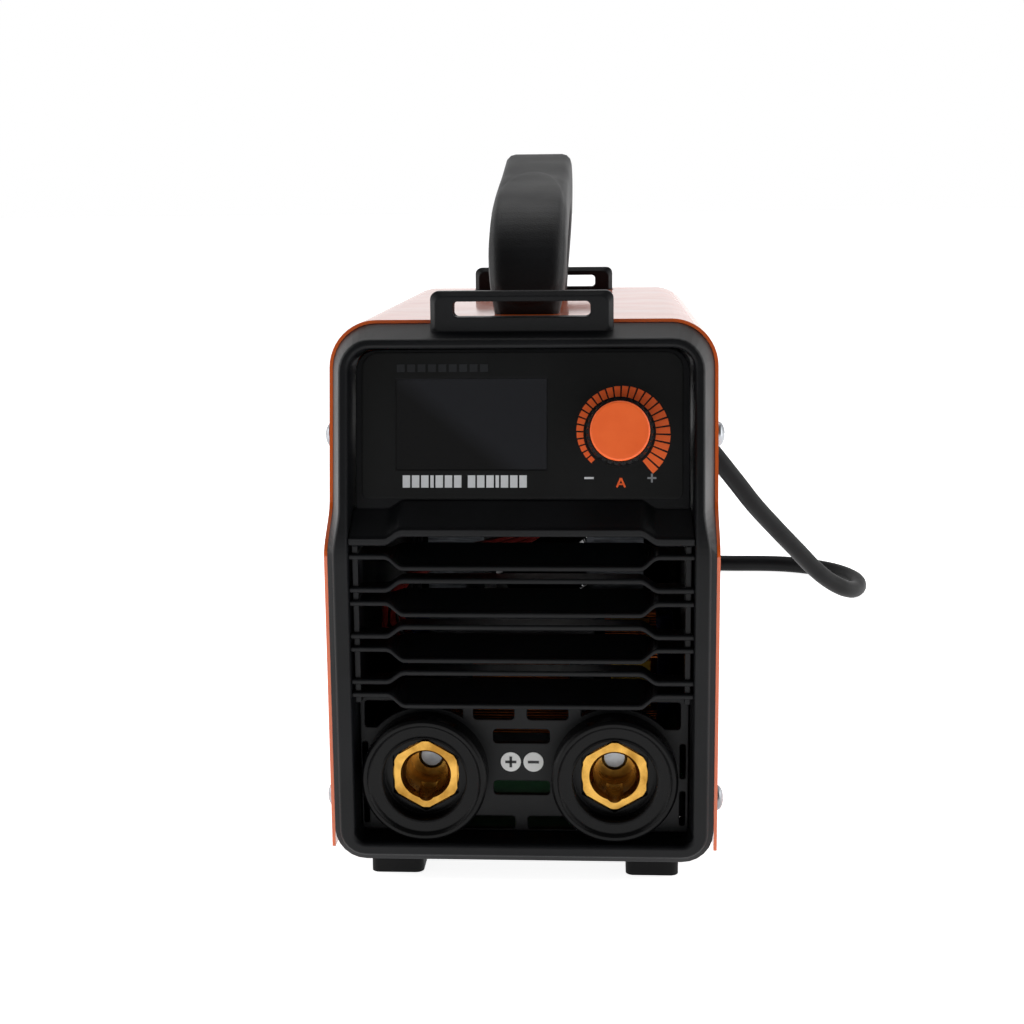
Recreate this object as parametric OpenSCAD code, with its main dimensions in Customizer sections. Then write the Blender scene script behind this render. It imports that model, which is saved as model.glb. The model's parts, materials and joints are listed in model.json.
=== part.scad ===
// Stick welding inverter: an orange sheet-metal cover over a tray, moulded front and
// rear bezels with strap loops, louvres, two current sockets, a current dial with a
// display, the power electronics, a cooling fan, a rocker switch and a mains lead.
// Millimetres. +Z is up, the front faces -Y, and the origin is on the floor under the
// middle of the machine.

/* [Case] */
// Outside width over the cover's two sides
case_w = 116.6; // [114:0.2:120]
// Height of the cover's top above the floor
case_top = 167.8; // [164:0.2:172]
// Length from the front plane to the rear plane
case_len = 212; // [204:1:224]
// Height of the rubber feet
foot_h = 6; // [5:0.5:8]
// Thickness of the cover's sheet
sheet_t = 1; // [0.8:0.1:1.2]
// Outside radius of the cover's two top corners
top_r = 14; // [12:0.5:16]
// Radius of the bezels' two bottom corners
bottom_r = 9.5; // [8:0.5:11]

/* [Front] */
// Height where the front starts to lean back
bend_z = 103; // [101:0.5:105]
// Lean of the upper front from the vertical, in degrees
lean = 10; // [8:0.5:12]
// Width of the rim round the recess
rim_w = 6.4; // [6:0.1:7]
// How much narrower the rim is along the bottom
rim_bottom_cut = 0.8; // [0:0.1:1.2]
// Depth of the control panel behind the rim
panel_depth = 8; // [7:0.5:9]
// Distance between one louvre and the next
louvre_pitch = 14.02; // [13.8:0.02:14.2]

/* [Controls] */
// Sideways place of the dial
dial_x = 28.9; // [27:0.1:30]
// Height of the dial's axis at the panel
dial_z = 135; // [133:0.5:137]
// Radius of the dial's orange cap
cap_r = 8.6; // [8:0.1:9]
// How far the dial stands out of the panel
dial_h = 17; // [15:0.5:18]

/* [Sockets] */
// Distance between the two socket axes
socket_gap = 57.4; // [56:0.2:58]
// Sideways place of the middle of the socket pair
socket_shift = -1.1; // [-1.4:0.1:0]
// Height of the socket axes above the floor
socket_z = 31.2; // [30:0.2:32]
// Outside diameter of a socket's flange
flange_d = 38; // [36:0.5:38.5]
// Radius of the bore that takes the cable plug's pin
pin_bore_r = 6.6; // [6.5:0.05:6.8]

/* [Handle and loops] */
// Height of the handle's top above the floor
handle_top = 219.6; // [214:0.2:222]
// Outside width of the strap loops
loop_w = 54.2; // [50:0.2:56]
// Height of the strap loops' top above the floor
loop_top = 176.6; // [175:0.2:178]

/* [Mains lead] */
// Outside diameter of the mains lead
cord_d = 8.5; // [8:0.1:9]
// Mean radius of the stowed coil of lead
coil_r = 47.5; // [46:0.5:49]

/* [Hidden] */
$fn = 48;

SHELL = "#26272a";
ORANGE = "#f26a12";
STEEL = "#b9bcc0";
BRASS = "#d9a63c";
COPPER = "#b4622c";
BOARD = "#2c6b3c";

front_rim_gap = 0.1;
bezel_half = case_w / 2 - sheet_t - front_rim_gap;
bezel_top = case_top - sheet_t - front_rim_gap;
knob_overhang = 4.2;
front_y = (knob_overhang - case_len) / 2;
rear_y = front_y + case_len;
slope = tan(lean);
bend_soft = 5;
step_low = bend_z - 3;
step_high = bend_z + 11;
band_low = 2;
band_high = 13;
ridge_low = 1.9;
ridge_high = 3.7;
wall_t = 2.2;
shelf_side_z = 106.1;
grille_half = bezel_half - rim_w - 0.2;
plate_y = 10;
plate_t = 2;
plate_top = 55;
fan_z = 58;
fan_size = 80;
fan_t = 25;
rear_recess = 6;
gland_x = 32;
gland_z = 132;
switch_x = -30;
switch_z = 131;
socket_xs = [socket_shift - socket_gap / 2, socket_shift + socket_gap / 2];

// ---------- shared functions ----------

// 0 below a, 1 above b, with a smooth step between
function smooth(x, a, b) = let (t = min(1, max(0, (x - a) / (b - a)))) t * t * (3 - 2 * t);

// Depth of the front face behind the front plane at height z
function lean_depth(z) = z <= bend_z - bend_soft ? 0
    : z >= bend_z + bend_soft ? slope * (z - bend_z)
    : slope * pow(z - bend_z + bend_soft, 2) / (4 * bend_soft);

// How far the black band runs back before the cover starts, at height z
function band_depth(z) = band_low + (band_high - band_low) * smooth(z, step_low, step_high);
function ridge_inset(z) = ridge_low + (ridge_high - ridge_low) * smooth(z, step_low, step_high);

// Y of a point that lies d behind the front plane
function fy(d) = front_y + d;

// A rounded closed outline from corners given as [x, y, radius]
function corner_arc(a, b, c, r, n) = let (
    u = (a - b) / norm(a - b), v = (c - b) / norm(c - b),
    half = acos(min(1, max(-1, u * v))) / 2,
    mid = (u + v) / norm(u + v), o = b + mid * r / sin(half),
    p = b + u * r / tan(half), q = b + v * r / tan(half),
    s = atan2(p[1] - o[1], p[0] - o[0]), e0 = atan2(q[1] - o[1], q[0] - o[0]) - s,
    e = e0 > 180 ? e0 - 360 : e0 < -180 ? e0 + 360 : e0)
    [for (i = [0:n]) o + r * [cos(s + e * i / n), sin(s + e * i / n)]];
function rounded(pts, n = 6) = [for (i = [0:len(pts) - 1]) let (
    a = pts[(i + len(pts) - 1) % len(pts)], b = pts[i], c = pts[(i + 1) % len(pts)],
    p = [b[0], b[1]])
    each (b[2] > 0 ? corner_arc([a[0], a[1]], p, [c[0], c[1]], b[2], n) : [p])];

// Faces of a skin over rings of m points; a closed skin joins its last ring to its first
function skin_faces(rings, m, closed) = concat(
    [for (i = [0:(closed ? rings - 1 : rings - 2)], j = [0:m - 1]) let (
        a = i * m + j, b = i * m + (j + 1) % m,
        c = ((i + 1) % rings) * m + (j + 1) % m, d = ((i + 1) % rings) * m + j)
        each [[a, b, c], [a, c, d]]],
    closed ? [] : [[for (j = [m - 1:-1:0]) j], [for (j = [0:m - 1]) (rings - 1) * m + j]]);
module skin(rings, closed = false) {
    m = len(rings[0]);
    polyhedron([for (r = rings) each r], skin_faces(len(rings), m, closed));
}

// A round tube of radius r along points that never run straight up
function unit(v) = v / norm(v);
function tube_ring(p, t, r, sides) = let (
    side = unit(cross(t, [0, 0, 1])), up = cross(side, t))
    [for (k = [0:sides - 1]) p + r * (cos(360 * k / sides) * side + sin(360 * k / sides) * up)];
module tube(path, r, sides) {
    last = len(path) - 1;
    skin([for (i = [0:last])
        tube_ring(path[i], unit(path[min(last, i + 1)] - path[max(0, i - 1)]), r, sides)]);
}

// Axis helpers: a cylinder or an extrusion along +Y, and one along +X
module along_y(h) { rotate([-90, 0, 0]) linear_extrude(h) mirror([0, 1]) children(); }
module along_x(h) { rotate([90, 0, 90]) linear_extrude(h) children(); }
module cyl_y(r, h) { rotate([-90, 0, 0]) cylinder(r = r, h = h); }
module box(low, high) { translate(low) cube(high - low); }
module rounded_box(w, h, r) { polygon(rounded([[-w / 2, -h / 2, r], [w / 2, -h / 2, r],
    [w / 2, h / 2, r], [-w / 2, h / 2, r]])); }

// Puts children on the control panel: x across, y up the lean, z out of the panel
module on_panel() {
    translate([0, front_y + panel_depth, bend_z]) rotate([90 - lean, 0, 0]) children();
}
// Distance up the panel of a point at height z
function up_panel(z) = (z - bend_z) / cos(lean);

// ---------- bezels ----------

// Stations round the bezel's outline: [centre, outward normal, radius]
side_levels = [30, 55, 80, 96, 98.5, 101, 103, 105, 107, 109, 111, 113, 115, 118, 135];
function corner(cx, cz, r, from, n) = [for (i = [0:n]) let (a = from + 90 * i / n)
    [[cx, cz], [cos(a), sin(a)], r]];
stations = let (tx = bezel_half - top_r + sheet_t, tz = bezel_top - top_r + sheet_t,
    bx = bezel_half - bottom_r, bz = foot_h + bottom_r, rt = top_r - sheet_t) concat(
    [for (z = side_levels) [[bezel_half, z], [1, 0], 0]],
    corner(tx, tz, rt, 0, 8), corner(-tx, tz, rt, 90, 8),
    [for (i = [len(side_levels) - 1:-1:0]) [[-bezel_half, side_levels[i]], [-1, 0], 0]],
    corner(-bx, bz, bottom_r, 180, 6), corner(bx, bz, bottom_r, 270, 6));

// Section of a bezel's ring at a station, as [inset, depth, measured from the face (1) or plane (0)]
flange_depth = 34;
function front_section(z, w) = let (b = band_depth(z), r = ridge_inset(z)) [
    [0, b, 1], [r - 0.25, 0.85, 1], [r, 0.35, 1], [r + 0.45, 0, 1], [w - 1.1, 0, 1],
    [w - 0.45, 0.22, 1], [w - 0.05, 0.9, 1], [w + 0.5, panel_depth, 1],
    [w + 0.7, 13.5, 1], [w - 0.8, 13.5, 1], [w - 1.2, 2.5, 1], [r + 0.9, 2.5, 1],
    [wall_t, b + 1.6, 1], [wall_t, flange_depth, 0], [0, flange_depth, 0]];
function rear_section() = [
    [0, 4, 0], [1.8, 0.6, 0], [2.4, 0, 0], [rim_w - 1.1, 0, 0], [rim_w - 0.3, 0.4, 0],
    [rim_w, 1.2, 0], [rim_w + 0.3, rear_recess, 0], [rim_w - 1.5, rear_recess, 0],
    [rim_w - 1.9, 2.6, 0], [wall_t + 0.9, 2.6, 0], [wall_t, 5.5, 0], [wall_t, 26, 0], [0, 26, 0]];
function bezel_rings(front) = [for (s = stations) let (zo = s[0][1] + s[1][1] * s[2])
    [for (q = front ? front_section(zo, rim_w - rim_bottom_cut * max(0, -s[1][1])) : rear_section())
        let (x = s[0][0] + s[1][0] * (s[2] - q[0]), z = s[0][1] + s[1][1] * (s[2] - q[0]))
        [x, (front ? front_y : -rear_y) + q[1] + (q[2] == 1 ? lean_depth(z) : 0), z]]];

// A rounded plate along +Y with bevelled edges: w and h its size, r its corner radius
module bevelled_plate(w, h, r, depth, bevel) {
    skin([for (k = [[0, bevel], [bevel, 0], [depth - bevel, 0], [depth, bevel]])
        [for (q = rounded([[-w / 2 + k[1], -h / 2 + k[1], r], [w / 2 - k[1], -h / 2 + k[1], r],
            [w / 2 - k[1], h / 2 - k[1], r], [-w / 2 + k[1], h / 2 - k[1], r]]))
            [q[0], k[0], q[1]]]]);
}
// A strap loop that stands on a bezel, its outside face at y and its foot at z
loop_depth = 6.5;
loop_slot = [40.6, 4.6];
module strap_loop(y, z) {
    h = loop_top - z;
    difference() {
        translate([0, y, z + h / 2]) bevelled_plate(loop_w, h, 2.4, loop_depth, 1.5);
        translate([0, y, loop_top - 5.3]) {
            translate([0, -0.01, 0]) bevelled_plate(loop_slot[0], loop_slot[1], 1.4, loop_depth + 0.02, -1.1);
        }
    }
}

// Height of a bent louvre's edge above its straight ends: 0 at the ends, 1 in the middle
function louvre_bend(x) = smooth(40.3 - abs(x), 0, 5.4);
half_bends = [grille_half, 40.3, 39.4, 38.6, 37.6, 36.6, 35.8, 34.9];
// Half width of the recess between the rim's walls, at depth d
function recess_half(d) = bezel_half - rim_w - 0.05 - 0.07 * d;
bend_stations = concat([for (x = half_bends) -x], [for (i = [7:-1:0]) half_bends[i]]);
// A louvre whose section is a list of [depth, height at the ends, extra height in the middle]
module louvre(section) {
    skin([for (x = bend_stations) [for (q = section)
        [abs(x) == grille_half ? sign(x) * recess_half(q[0]) : x, fy(q[0]),
            q[1] + q[2] * louvre_bend(x)]]]);
}

// The shelf under the control panel, which ends in the first louvre's thick lip
module panel_shelf() {
    lip_z = 112.8;
    lip_y = lean_depth(lip_z) + panel_depth;
    louvre([[lip_y + 1.5, lip_z - 4, 2.5], [3.4, shelf_side_z - 2.7, 2.7],
        [1.4, shelf_side_z - 2.7, 2.7], [1, shelf_side_z - 2.2, 2.7],
        [1, shelf_side_z - 0.6, 2.7], [2, shelf_side_z, 2.7], [lip_y - 0.3, lip_z, 2.5],
        [lip_y + 1.5, lip_z + 0.5, 2.5]]);
}

// Clearance holes through a bezel's walls for the cover and foot screws
module screw_holes(ys, foot_y) {
    for (k = [0, 1]) translate([-case_w, ys[k][0], ys[k][1]]) rotate([0, 90, 0])
        cylinder(r = 2.05, h = 2 * case_w, $fn = 24);
    for (x = [-39, 39]) translate([x, foot_y, 0]) cylinder(r = 2.05, h = 14, $fn = 24);
}

module front_bezel() color(SHELL) {
    difference() {
        skin(bezel_rings(true), closed = true);
        screw_holes([screw_spots[0], screw_spots[1]], fy(18));
    }
    strap_loop(fy(17), bezel_top - 3.9);
}

module control_panel() color(SHELL) {
    half = bezel_half - rim_w - 1.3;
    plate_low = up_panel(111);
    plate_high = up_panel(bezel_top - rim_w - 0.9);
    panel_shelf();
    difference() {
        on_panel() translate([0, 0, -2]) linear_extrude(2) difference() {
            polygon(rounded([[-half, plate_low, 0], [half, plate_low, 0],
                [half, plate_high, 6.5], [-half, plate_high, 6.5]]));
            translate([-36, up_panel(125.6)]) square([42, 24.4]);
            translate([dial_x, up_panel(dial_z)]) circle(r = 4.6);
        }
        translate([0, fy(0), bend_z - 2]) cube([2 * case_w, 60, 20], center = true);
    }
}

module vent_grille() color(SHELL) {
    floor_mid = 4.7;
    for (k = [0:3]) {
        low = 100.8 - louvre_pitch * k;
        louvre([[1, low - 0.35, -3.4], [1.4, low, -3.4], [2.6, low, -3.4],
            [12, low + 0.2, floor_mid - 3.4], [12, low - 1.2, floor_mid - 3.4],
            [2.6, low - 1.5, -3.4], [1.2, low - 1.5, -3.4], [1, low - 1.2, -3.4]]);
        if (k > 0) {
            top = 104.85 - louvre_pitch * k;
            louvre([[1, top - 0.4, 2.8], [1.3, top, 2.8], [8.5, top, 2.8],
                [8.5, top - 1.6, 2.8], [1.3, top - 1.6, 2.8], [1, top - 1.2, 2.8]]);
        }
    }
    for (s = [-1, 1]) translate([s * (recess_half(12) - 0.85), 0, 0])
        box([-0.8, fy(2.4), plate_top + 0.3], [0.8, fy(12), shelf_side_z - 3]);
}

module rear_bezel() color(SHELL) {
    difference() {
        mirror([0, 1, 0]) skin(bezel_rings(false), closed = true);
        screw_holes([screw_spots[2], screw_spots[3]], rear_y - 18);
    }
    translate([0, rear_y - 15 - loop_depth, 0]) strap_loop(0, bezel_top - 1.8);
}

// ---------- control panel ----------

label_t = 0.4;
window_low = up_panel(124.3);
window_high = up_panel(150.9);
module control_label() color("#1b1c1f") on_panel() linear_extrude(label_t) difference() {
    polygon(rounded([[-47.6, up_panel(115.9), 2], [47.6, up_panel(115.9), 2],
        [47.6, up_panel(158.6), 5], [-47.6, up_panel(158.6), 5]]));
    translate([-37.4, window_low]) square([44.9, window_high - window_low]);
    translate([dial_x, up_panel(dial_z)]) circle(r = 4.4);
}

// One bar of the dial's scale; the bars grow longer clockwise from the lower left
scale_bars = 28;
module scale_bar(i) {
    from = 227 - i * 10;
    outer = 12.2 + 3.3 * i / (scale_bars - 1);
    polygon(concat([for (a = [0:2]) 10.7 * [cos(from - 3.9 * a), sin(from - 3.9 * a)]],
        [for (a = [2:-1:0]) outer * [cos(from - 3.9 * a), sin(from - 3.9 * a)]]));
}
module dial_scale() color(ORANGE) on_panel() translate([dial_x, up_panel(dial_z), label_t])
    linear_extrude(0.15) for (i = [0:scale_bars - 1]) scale_bar(i);

module display_window() color("#101114", 0.6) on_panel()
    translate([-37.3, window_low + 0.1, 0]) cube([44.7, window_high - window_low - 0.2, 0.5]);

module lcd_module() color("#5c6470") on_panel() {
    translate([-35.8, window_low + 1.6, -4.2]) cube([41.6, 23.8, 4.1]);
    translate([-37, window_low + 0.4, -6.4]) cube([44, 26, 2.1]);
    for (x = [-34, 4]) translate([x, window_low + 3, -13.9]) cylinder(r = 1.6, h = 7.4);
}

board_n = -15.6;
module control_board() color(BOARD) on_panel() difference() {
    translate([-40, up_panel(116), board_n]) cube([84, up_panel(154) - up_panel(116), 1.6]);
    translate([dial_x, up_panel(dial_z), board_n - 1]) cylinder(r = 2, h = 4);
    for (x = [-37, 41]) translate([x, up_panel(151), board_n - 1]) cylinder(r = 1.6, h = 4);
}

bush_r = 3.5;
shaft_r = 3;
module potentiometer() color(STEEL) on_panel() translate([dial_x, up_panel(dial_z), 0])
    difference() {
        union() {
            translate([0, 0, -13.9]) cylinder(r = 8.2, h = 9.6);
            translate([0, 0, -4.3]) cylinder(r = bush_r, h = 8.3);
            for (x = [-5, 0, 5]) translate([x - 0.5, -14, -13]) cube([1, 8, 0.6]);
        }
        translate([0, 0, -12]) cylinder(r = shaft_r + 0.05, h = 30);
    }
module dial_nut() color(STEEL) on_panel() translate([dial_x, up_panel(dial_z), label_t])
    difference() {
        cylinder(r = 5.4, h = 2.2, $fn = 6);
        translate([0, 0, -1]) cylinder(r = bush_r + 0.05, h = 5);
    }

// The knob turns with the shaft: a hollow ribbed skirt with an orange cap
module knob_body() color(SHELL) on_panel() translate([dial_x, up_panel(dial_z), 0]) {
    difference() {
        union() {
            translate([0, 0, label_t + 0.5]) cylinder(r1 = 9.9, r2 = 9.1, h = dial_h - 2.9);
            for (k = [0:29]) rotate(k * 12) translate([9.05, 0, label_t + 0.5])
                cylinder(r = 0.75, h = dial_h - 3.9);
        }
        translate([0, 0, label_t]) cylinder(r = 7.6, h = 5.4);
        translate([0, 0, dial_h - 3]) cylinder(r = cap_r + 0.02, h = 4);
    }
    translate([0, 0, -11.9]) cylinder(r = shaft_r, h = 20);
}
module knob_cap() color(ORANGE) on_panel() translate([dial_x, up_panel(dial_z), dial_h - 2.95])
    rotate_extrude() polygon(rounded([[0, 0, 0], [cap_r, 0, 0], [cap_r, 2.95, 0.7], [0, 2.95, 0]]));

// ---------- current sockets ----------

module panel_cutouts() {
    for (z = [42.6, 26.2]) translate([-0.7, z]) rounded_box(17.3, 4.5, 1.2);
    for (x = [-48.6, 48.2], z = [20, 35]) translate([x, z]) rounded_box(1.8, 11, 0.6);
    difference() {
        union() {
            for (s = [-1, 1]) translate([s * 8.2 - 0.9, 49.7]) rounded_box(12.6, 3.9, 1.2);
            for (s = [-1, 1]) translate([s * 14.4 - 0.9, 15]) rounded_box(25, 4.2, 1);
            for (s = [-1, 1]) translate([s * 33 - 0.5, 49.3]) rounded_box(30, 8.6, 1);
        }
        for (x = socket_xs) translate([x, socket_z]) circle(r = 20.4);
    }
}
module socket_panel() color("#1d1e20") difference() {
    box([-recess_half(13), fy(plate_y), foot_h + 6.4],
        [recess_half(13), fy(plate_y + plate_t), plate_top]);
    for (x = socket_xs) translate([x, fy(plate_y - 1), socket_z]) cyl_y(15.9, plate_t + 2);
    translate([0, fy(plate_y - 1), 0]) along_y(plate_t + 2) panel_cutouts();
}

// A socket's insulated body: a grooved flange, a hexagonal well and a barrel behind the panel
module socket_body(x) translate([x, fy(1), socket_z]) difference() {
    rotate([-90, 0, 0]) rotate_extrude($fn = 96) polygon([[0, 6], [12.7, 6], [12.7, 1.1],
        [13.1, 0.7], [13.6, 1.0], [16.4, 1.0], [16.9, 0.5], [17.3, 0], [flange_d / 2 - 0.8, 0],
        [flange_d / 2, 0.8], [flange_d / 2, plate_y - 1], [15.6, plate_y - 1], [15.6, 31],
        [0, 31]]);
    translate([0, 5, 0]) cyl_y(10.05, 40);
    translate([0, 3, 0]) rotate([-90, 0, 0]) rotate(30) cylinder(r = 11.5, h = 4.5, $fn = 6);
}
module positive_socket() color("#111214") socket_body(socket_xs[0]);
module negative_socket() color("#111214") socket_body(socket_xs[1]);

// Brass contact: hexagonal face, pin bore with a keyway, threaded back
module contact(x) translate([x, fy(7), socket_z]) difference() {
    union() {
        intersection() {
            rotate([-90, 0, 0]) rotate(30) cylinder(r = 11, h = 1.5, $fn = 6);
            translate([0, -1, 0]) cyl_y(10.45, 4);
        }
        translate([0, 1.4, 0]) cyl_y(10, 31.6);
    }
    translate([0, 1, 0]) cyl_y(pin_bore_r, 16.4);
    translate([0, -1, 0]) rotate([-90, 0, 0]) cylinder(r1 = pin_bore_r + 1.6, r2 = pin_bore_r - 0.4, h = 4);
    translate([0, -1, -5.9]) cyl_y(2.6, 12);
    translate([0, 17, 0]) cyl_y(4.05, 20);
}
module positive_contact() color(BRASS) contact(socket_xs[0]);
module negative_contact() color(BRASS) contact(socket_xs[1]);

module socket_rings() color("#17181a") for (x = socket_xs)
    translate([x, fy(plate_y + plate_t), socket_z]) difference() {
        rotate([-90, 0, 0]) cylinder(r = 18.4, h = 5, $fn = 8);
        translate([0, -1, 0]) cyl_y(15.65, 7);
    }

bolt_tip = 25.4;
module contact_bolts() color(STEEL) for (x = socket_xs) translate([x, 0, socket_z]) {
    translate([0, fy(bolt_tip), 0]) cyl_y(4, 23);
    translate([0, fy(bolt_tip - 0.8), 0]) rotate([-90, 0, 0]) cylinder(r1 = 3.2, r2 = 4, h = 0.8);
    translate([0, fy(43.1), 0]) rotate([-90, 0, 0]) cylinder(r = 7.5, h = 5.5, $fn = 6);
}

module output_busbars() color(COPPER) for (x = socket_xs) {
    difference() {
        box([x - 8, fy(40.1), part_z], [x + 8, fy(43), socket_z + 9]);
        translate([x, fy(39), socket_z]) cyl_y(4.1, 6);
    }
    box([x - 8, fy(40.1), part_z], [x + 8, fy(57), part_z + 2.9]);
}

module polarity_discs() color("white") for (x = [-4, 2.9])
    translate([x, fy(plate_y - 0.3), 34.5]) cyl_y(3.05, 0.3);

// ---------- cover, tray, feet ----------

cover_gap = 0.5;
module cover_outline(t) { // the cover's end outline, inset by t and open below
    w = case_w / 2 - t;
    polygon(rounded([[-w, 0, 0], [w, 0, 0], [w, case_top - t, top_r - t],
        [-w, case_top - t, top_r - t]], 12));
}
screw_spots = [[fy(27), 132.8], [fy(12), 23], [rear_y - 14, 132.8], [rear_y - 14, 23]];
// The cover's front edge follows the black band, so it steps back above the louvres
front_edge = [for (z = [0, 60, 95, step_low, 101.5, 103, 104.5, 106, 107.5, 109, 110.5, 112,
    step_high, 116, 140, 180]) [front_y + lean_depth(z) + band_depth(z) + cover_gap, z]];
module top_cover() color(ORANGE) difference() {
    translate([0, fy(0), 0]) along_y(case_len - 4 - cover_gap) difference() {
        cover_outline(0);
        cover_outline(sheet_t);
        translate([-case_w, -1]) square([2 * case_w, 10.6]);
    }
    translate([-case_w, 0, 0]) along_x(2 * case_w)
        polygon(concat([[front_y - 5, -5]], front_edge, [[front_y - 5, 185]]));
    for (p = screw_spots) translate([-case_w, p[0], p[1]]) rotate([0, 90, 0])
        cylinder(r = 2.1, h = 2 * case_w);
    for (y = handle_feet, x = [-5, 5]) translate([x, y, case_top - 5]) cylinder(r = 2.1, h = 10);
    box([-loop_w / 2 - 0.4, rear_y - 15.4 - loop_depth, case_top - 5],
        [loop_w / 2 + 0.4, rear_y - 14.6, case_top + 5]);
}

module pan_screw(r, head_r, head_h, length) { // head up, the shank goes down from z = 0
    translate([0, 0, 0]) rotate_extrude() polygon(concat([[0, 0], [head_r, 0]],
        [for (i = [0:5]) [head_r * cos(15 * i), 0.5 + (head_h - 0.5) * sin(15 * i)]],
        [[0, head_h]]));
    translate([0, 0, -length]) cylinder(r = r, h = length);
}
module cross_slot(z, size) {
    for (a = [0, 90]) rotate(a) translate([-size / 2, -0.45, z]) cube([size, 0.9, 3]);
}
module cover_screws() color(STEEL) for (p = screw_spots, s = [-1, 1])
    translate([s * case_w / 2, p[0], p[1]]) rotate([0, s * 90, 0]) difference() {
        pan_screw(2, 3.8, 2.4, 4.4);
        cross_slot(1.3, 4);
    }

tray_z = foot_h + wall_t + 0.1;
module base_tray() color("#3a3c40") difference() {
    union() {
        box([-47.5, fy(14.2), tray_z], [47.5, rear_y - 8, tray_z + 1.2]);
        for (s = [-1, 1]) {
            box([min(s * 47.4, s * 54.8), fy(flange_depth + 0.1), tray_z],
                [max(s * 47.4, s * 54.8), rear_y - 27, tray_z + 1.2]);
            box([min(s * 53.8, s * 54.8), fy(flange_depth + 0.1), tray_z],
                [max(s * 53.8, s * 54.8), rear_y - 27, 28]);
        }
    }
    for (x = [-39, 39], y = [fy(18), rear_y - 18]) translate([x, y, 0]) cylinder(r = 2.1, h = 20);
    for (i = [-4:4]) translate([-20, i * 7, tray_z - 1]) cube([40, 3, 4]);
}

module feet() color("#1a1a1b") for (x = [-39, 39], y = [fy(18), rear_y - 18])
    translate([x, y, 0]) difference() {
        union() {
            linear_extrude(foot_h - 1.4) rounded_box(16, 24, 2.5);
            translate([0, 0, foot_h - 1.5]) linear_extrude(1.5) rounded_box(14.4, 22, 2.5);
        }
        translate([0, 0, -1]) cylinder(r = 4.6, h = 3.4);
        cylinder(r = 2.2, h = 20);
    }
module foot_screws() color(STEEL) for (x = [-39, 39], y = [fy(18), rear_y - 18])
    translate([x, y, 0.5]) {
        translate([0, 0, 1.9]) rotate([180, 0, 0]) difference() {
            pan_screw(0.5, 3.9, 1.8, 0.2);
            cross_slot(0.9, 4);
        }
        translate([0, 0, 1.8]) cylinder(r = 2, h = 9);
    }

// ---------- handle ----------

// Centre line of the handle as [y behind the front plane, z, thickness, width]
handle_knots = [[57, case_top, 21, 20.2], [57.6, 175, 20.4, 23], [60, 182.5, 19.8, 24.4],
    [65.5, 188.6, 19.2, 24.4], [74, 193, 18.8, 24.4], [85, 196.4, 18.6, 24.3],
    [100, 199.8, 18.4, 24.1], [119, 203.6, 18.4, 23.9], [137, 207.6, 18.4, 23.8],
    [150, 210, 18.6, 23.8], [160.5, 209.2, 18.8, 23.8], [169, 204.6, 19, 23.8],
    [174.4, 196.5, 19.2, 23.2], [177, 187, 19.4, 21.8], [178.2, 177, 19.8, 20],
    [178.6, case_top, 20.4, 18.6]];
handle_lift = handle_top - 219.6;
handle_feet = [fy(57), fy(178.6)];
// Four steps of a smooth curve between each pair of knots
function between(a, b, c, d, t) = 0.5 * (2 * b + (c - a) * t + (2 * a - 5 * b + 4 * c - d) * t * t
    + (3 * b - a - 3 * c + d) * t * t * t);
handle_line = let (k = handle_knots, n = len(k)) concat(
    [for (i = [0:n - 2], j = [0:3])
        between(i == 0 ? 2 * k[0] - k[1] : k[i - 1], k[i], k[i + 1],
            i == n - 2 ? 2 * k[n - 1] - k[n - 2] : k[i + 2], j / 4)], [k[n - 1]]);
function handle_dir(i) = i == 0 || i == len(handle_line) - 1 ? [0, i == 0 ? 1 : -1]
    : let (a = handle_line[i - 1], b = handle_line[i + 1]) unit([b[0] - a[0], b[1] - a[1]]);
// Rounded section: w across, t thick, radius r, four points to a corner
function soft_section(w, t, r) = rounded([[-w / 2, -t / 2, r], [w / 2, -t / 2, r],
    [w / 2, t / 2, r], [-w / 2, t / 2, r]], 3);
function handle_rings(inset, grow, from, to) = [for (i = [from:to]) let (
    p = handle_line[i], d = handle_dir(i), n = [-d[1], d[0]])
    [for (q = soft_section(p[3] - inset, p[2] + grow, 3.4)) [q[0], fy(p[0]) + n[0] * q[1],
        max(case_top, p[1] + n[1] * q[1] + handle_lift * smooth(p[1], 170, 200))]]];
pad_end = 30;
module handle_grip() color(SHELL) difference() {
    union() {
        skin(handle_rings(0, 0, 0, len(handle_line) - 1));
        intersection() { // the raised pad on the front leg, round at both ends
            skin(handle_rings(0.8, 2.6, 0, pad_end));
            translate([0, fy(40), 0]) along_y(85)
                polygon(rounded([[-11.1, 171.2, 11], [11.1, 171.2, 11],
                    [11.1, 212.4, 11], [-11.1, 212.4, 11]], 12));
        }
    }
    for (y = handle_feet, x = [-5, 5]) translate([x, y, case_top - 1]) cylinder(r = 1.6, h = 9);
}
module handle_screws() color(STEEL) for (y = handle_feet, x = [-5, 5])
    translate([x, y, case_top - sheet_t]) rotate([180, 0, 0]) pan_screw(1.55, 3, 2, 8);

// ---------- rear: panel, fan, switch, gland ----------

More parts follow.
